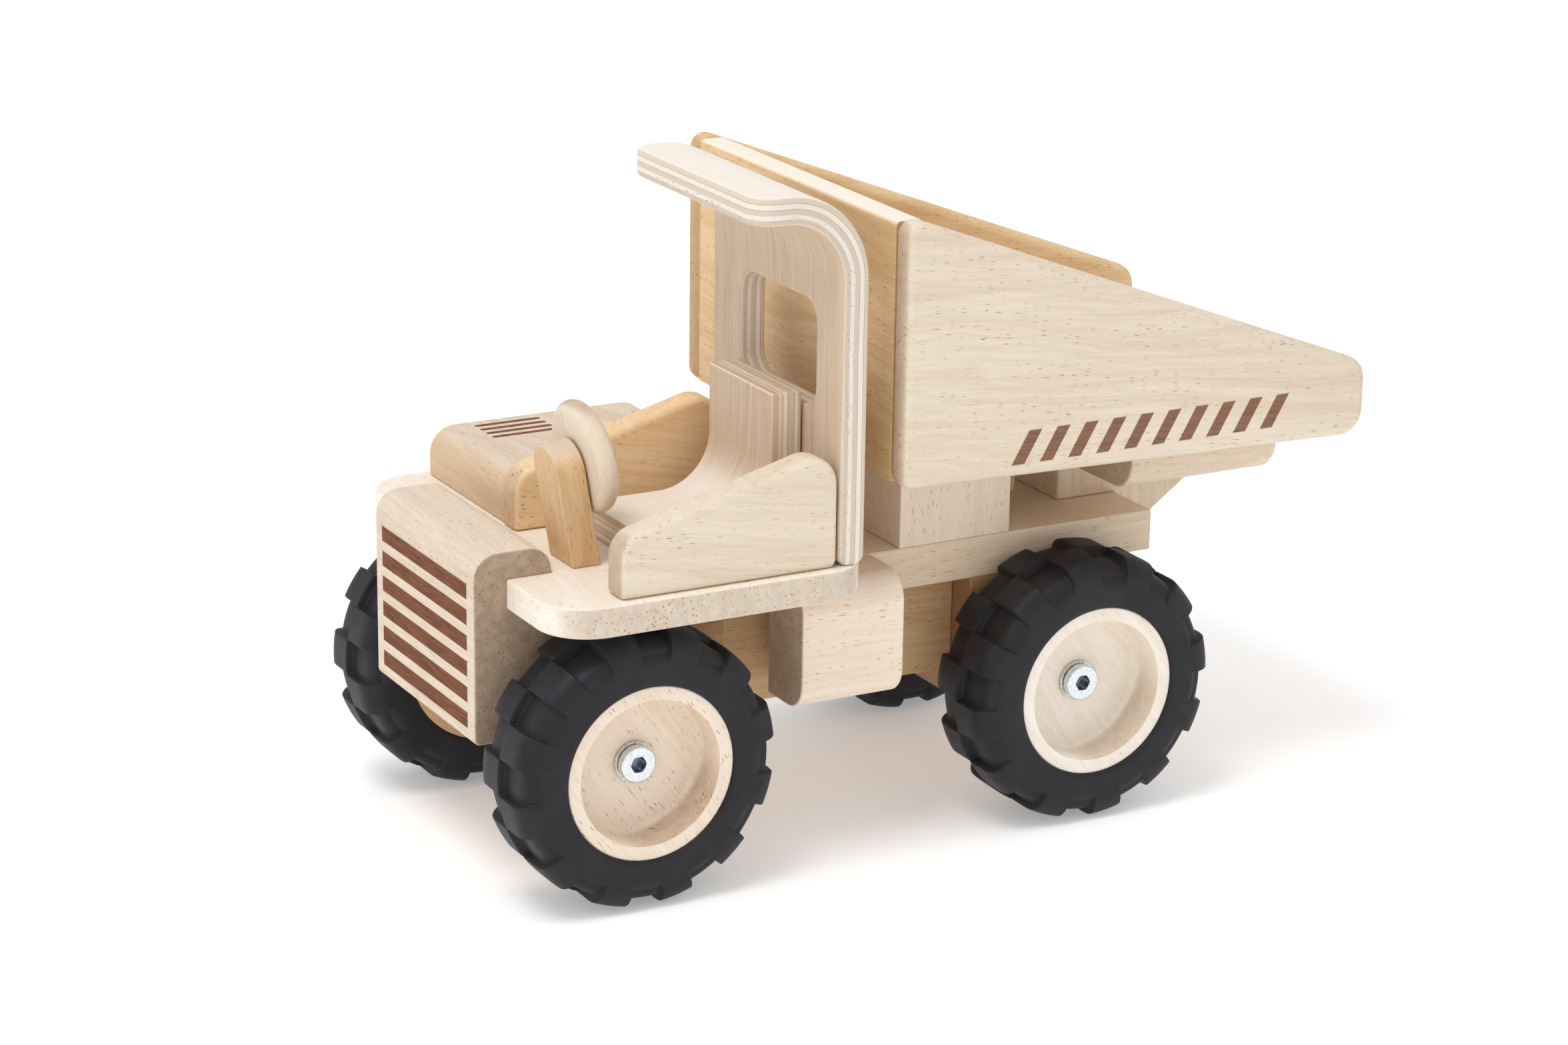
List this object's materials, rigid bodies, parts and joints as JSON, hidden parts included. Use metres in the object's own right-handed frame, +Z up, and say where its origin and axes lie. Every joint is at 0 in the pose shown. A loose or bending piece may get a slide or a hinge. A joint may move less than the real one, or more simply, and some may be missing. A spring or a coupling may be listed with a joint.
{
  "type": "toy dump truck",
  "caption": "Wooden toy dump truck with rubber-tyred wheels that roll, a tipping load bed on a rear hinge, a bent-plywood cab with a bench seat and a steering wheel that turns.",
  "frame": {"origin": "centre of the footprint, on the ground under the middle of the truck's length and width", "axes": "+X forward (towards the grille), +Y to the driver's left, +Z up; the tyres stand on z = 0"},
  "size_m": [0.2926, 0.145, 0.2092],
  "materials": {
    "pale_wood": "satin",
    "warm_wood": "satin",
    "bent_plywood": "satin",
    "turned_wood": "satin",
    "tyre_rubber": "matte",
    "zinc_steel": "bright zinc"
  },
  "bodies": {
    "chassis": {"grille_block": "pale_wood", "deck_board": "pale_wood", "chassis_board": "pale_wood", "spine_beam": "warm_wood", "front_axle_block": "warm_wood", "rear_axle_block": "warm_wood", "left_fuel_tank": "pale_wood", "right_fuel_tank": "pale_wood", "hood_block": "pale_wood", "left_armrest": "pale_wood", "right_armrest": "warm_wood", "bench_seat": "bent_plywood", "cab_shell": "bent_plywood", "steering_column": "warm_wood", "steering_peg": "warm_wood", "front_support_block": "pale_wood", "hinge_block": "pale_wood", "wheel_bolts": "zinc_steel", "wheel_bushings": "zinc_steel", "wheel_washers": "zinc_steel"},
    "tipper": {"tipper_floor": "warm_wood", "tipper_left_side": "pale_wood", "tipper_right_side": "pale_wood", "tipper_headboard": "warm_wood", "tipper_left_rail": "pale_wood", "tipper_right_rail": "pale_wood", "tipper_locating_block": "pale_wood", "hinge_pin": "warm_wood"},
    "steering": {"steering_wheel": "turned_wood"},
    "front_left_wheel": {"front_left_tyre": "tyre_rubber", "front_left_hub": "turned_wood"},
    "front_right_wheel": {"front_right_tyre": "tyre_rubber", "front_right_hub": "turned_wood"},
    "rear_left_wheel": {"rear_left_tyre": "tyre_rubber", "rear_left_hub": "turned_wood"},
    "rear_right_wheel": {"rear_right_tyre": "tyre_rubber", "rear_right_hub": "turned_wood"}
  },
  "joints": [
    {"name": "front_left_wheel_spin", "type": "hinge", "parent": "chassis", "child": "front_left_wheel", "pos_m": [0.1038, 0.0565, 0.0425], "axis": [0, 1, 0], "continuous": true},
    {"name": "front_right_wheel_spin", "type": "hinge", "parent": "chassis", "child": "front_right_wheel", "pos_m": [0.1038, -0.0565, 0.0425], "axis": [0, 1, 0], "continuous": true},
    {"name": "rear_left_wheel_spin", "type": "hinge", "parent": "chassis", "child": "rear_left_wheel", "pos_m": [-0.0507, 0.0547, 0.0425], "axis": [0, 1, 0], "continuous": true},
    {"name": "rear_right_wheel_spin", "type": "hinge", "parent": "chassis", "child": "rear_right_wheel", "pos_m": [-0.0507, -0.0547, 0.0425], "axis": [0, 1, 0], "continuous": true},
    {"name": "steering_wheel_spin", "type": "hinge", "parent": "chassis", "child": "steering", "pos_m": [0.1085, 0.0284, 0.12673], "axis": [-0.9848, 0, 0.1736], "continuous": true},
    {"name": "tipper_hinge", "type": "hinge", "parent": "chassis", "child": "tipper", "pos_m": [-0.1107, 0, 0.11], "axis": [0, -1, 0], "range_deg": [0, 50]}
  ]
}
